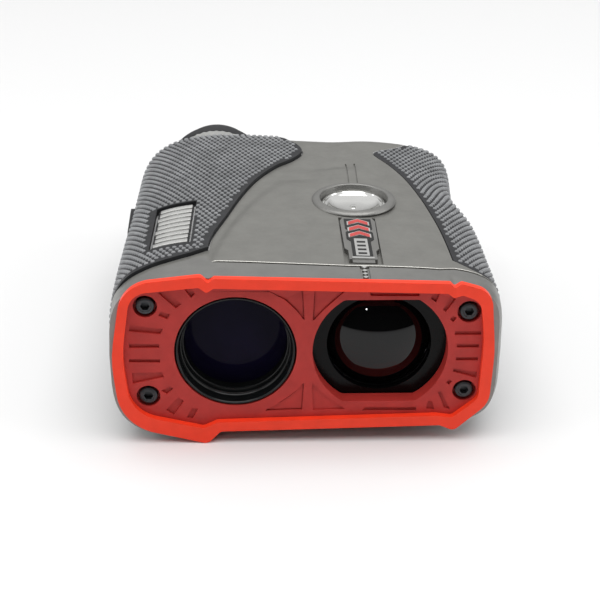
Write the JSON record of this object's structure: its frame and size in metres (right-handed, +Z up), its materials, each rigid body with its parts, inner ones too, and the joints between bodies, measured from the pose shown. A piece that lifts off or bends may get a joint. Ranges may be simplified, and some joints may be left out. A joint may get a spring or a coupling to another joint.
{
  "type": "laser rangefinder",
  "caption": "Hand-held monocular laser rangefinder with an objective and a receiver lens in a red face, rubber grips, a round mode button, an eyepiece and a battery cap, lying on its side.",
  "frame": {"origin": "middle of the bounding box's bottom face, on the plane that the device rests on when it lies on its right side", "axes": "+Y from the objective end to the eyepiece, along the optical axes; +Z up from the side that it lies on; +X from the device's top, where the power button is, to its battery side"},
  "size_m": [0.0824, 0.108, 0.0383],
  "materials": {
    "gunmetal": "warm grey metallic, fine satin grain",
    "red_rim": "bright orange-red anodised, satin",
    "red_plate": "dull dark red, fine matt grain",
    "grip_rubber": "dark blue-grey with a fine woven scale texture",
    "black_plastic": "matt black",
    "black_metal": "black anodised, semi-gloss",
    "coated_glass": "violet anti-reflection coating",
    "clear_glass": "clear, polished",
    "chrome": "polished",
    "steel": "brushed",
    "brass": "plain",
    "soft_rubber": "soft matt black",
    "circuit_board": "green solder mask",
    "cell_wrap": "glossy dark sleeve"
  },
  "bodies": {
    "chassis": {"battery_spring": "steel", "battery_tube": "black_plastic", "detector_board": "circuit_board", "display_frame": "black_plastic", "display_panel": "clear_glass", "eyepiece_barrel": "black_plastic", "face_plate": "red_plate", "face_screw_1": "black_metal", "face_screw_2": "black_metal", "face_screw_3": "black_metal", "face_screw_4": "black_metal", "field_lens": "clear_glass", "fire_switch": "steel", "fire_switch_board": "circuit_board", "front_collar": "gunmetal", "front_frame": "black_plastic", "front_rim": "red_rim", "grip_bottom": "grip_rubber", "grip_plate": "steel", "grip_top": "grip_rubber", "housing_left": "gunmetal", "housing_right": "gunmetal", "laser_module": "brass", "lens_retainer": "black_metal", "lens_spacer": "black_metal", "main_board": "circuit_board", "mode_dome": "soft_rubber", "mode_ring": "gunmetal", "mode_switch": "steel", "objective_barrel": "black_metal", "objective_lens": "coated_glass", "optical_chassis": "black_plastic", "photodiode_can": "steel", "prism_block": "clear_glass", "prism_holder": "black_plastic", "processor_chip": "black_plastic", "receiver_cone": "black_plastic", "receiver_lens": "coated_glass", "receiver_mask": "black_plastic", "side_plate": "chrome", "vibration_motor": "steel"},
    "mode_button": {"mode_button": "chrome"},
    "power_button": {"power_button": "soft_rubber"},
    "diopter": {"diopter_ring": "gunmetal", "eyecup": "soft_rubber", "eye_lens": "coated_glass"},
    "battery_cap_lift": {"battery_cap_seal": "soft_rubber", "battery_cap_contact": "brass"},
    "battery_cap": {"battery_cap": "black_plastic", "battery_cap_tab_pin": "steel"},
    "battery_cap_tab": {"battery_cap_tab": "black_plastic"},
    "battery": {"battery": "cell_wrap"}
  },
  "joints": [
    {"name": "mode_button_press", "type": "slide", "parent": "chassis", "child": "mode_button", "axis": [0, 0, -1], "range_m": [0, 0.0006], "stiffness_N_per_m": 1500, "springref_m": -0.0003},
    {"name": "power_button_press", "type": "slide", "parent": "chassis", "child": "power_button", "axis": [1, 0, 0], "range_m": [0, 0.001], "stiffness_N_per_m": 1200, "springref_m": -0.0003},
    {"name": "diopter_turn", "type": "hinge", "parent": "chassis", "child": "diopter", "pos_m": [-0.0196, 0.045, 0.0206], "axis": [0, 1, 0], "range_deg": [-75, 75]},
    {"name": "battery_cap_lift", "type": "slide", "parent": "chassis", "child": "battery_cap_lift", "axis": [0, 1, 0], "range_m": [0, 0.07]},
    {"name": "battery_cap_turn", "type": "hinge", "parent": "battery_cap_lift", "child": "battery_cap", "pos_m": [0.0195, 0.034, 0.0201], "axis": [0, 1, 0], "range_deg": [0, 90]},
    {"name": "battery_cap_tab_hinge", "type": "hinge", "parent": "battery_cap", "child": "battery_cap_tab", "pos_m": [0.0195, 0.03605, 0.0201], "axis": [-1, 0, 0], "range_deg": [0, 90]},
    {"name": "battery_slide", "type": "slide", "parent": "chassis", "child": "battery", "axis": [0, 1, 0], "range_m": [0, 0.035]}
  ],
  "couplings": [
    {"joint": "battery_slide", "follows": "battery_cap_lift", "ratio": 0.5}
  ]
}
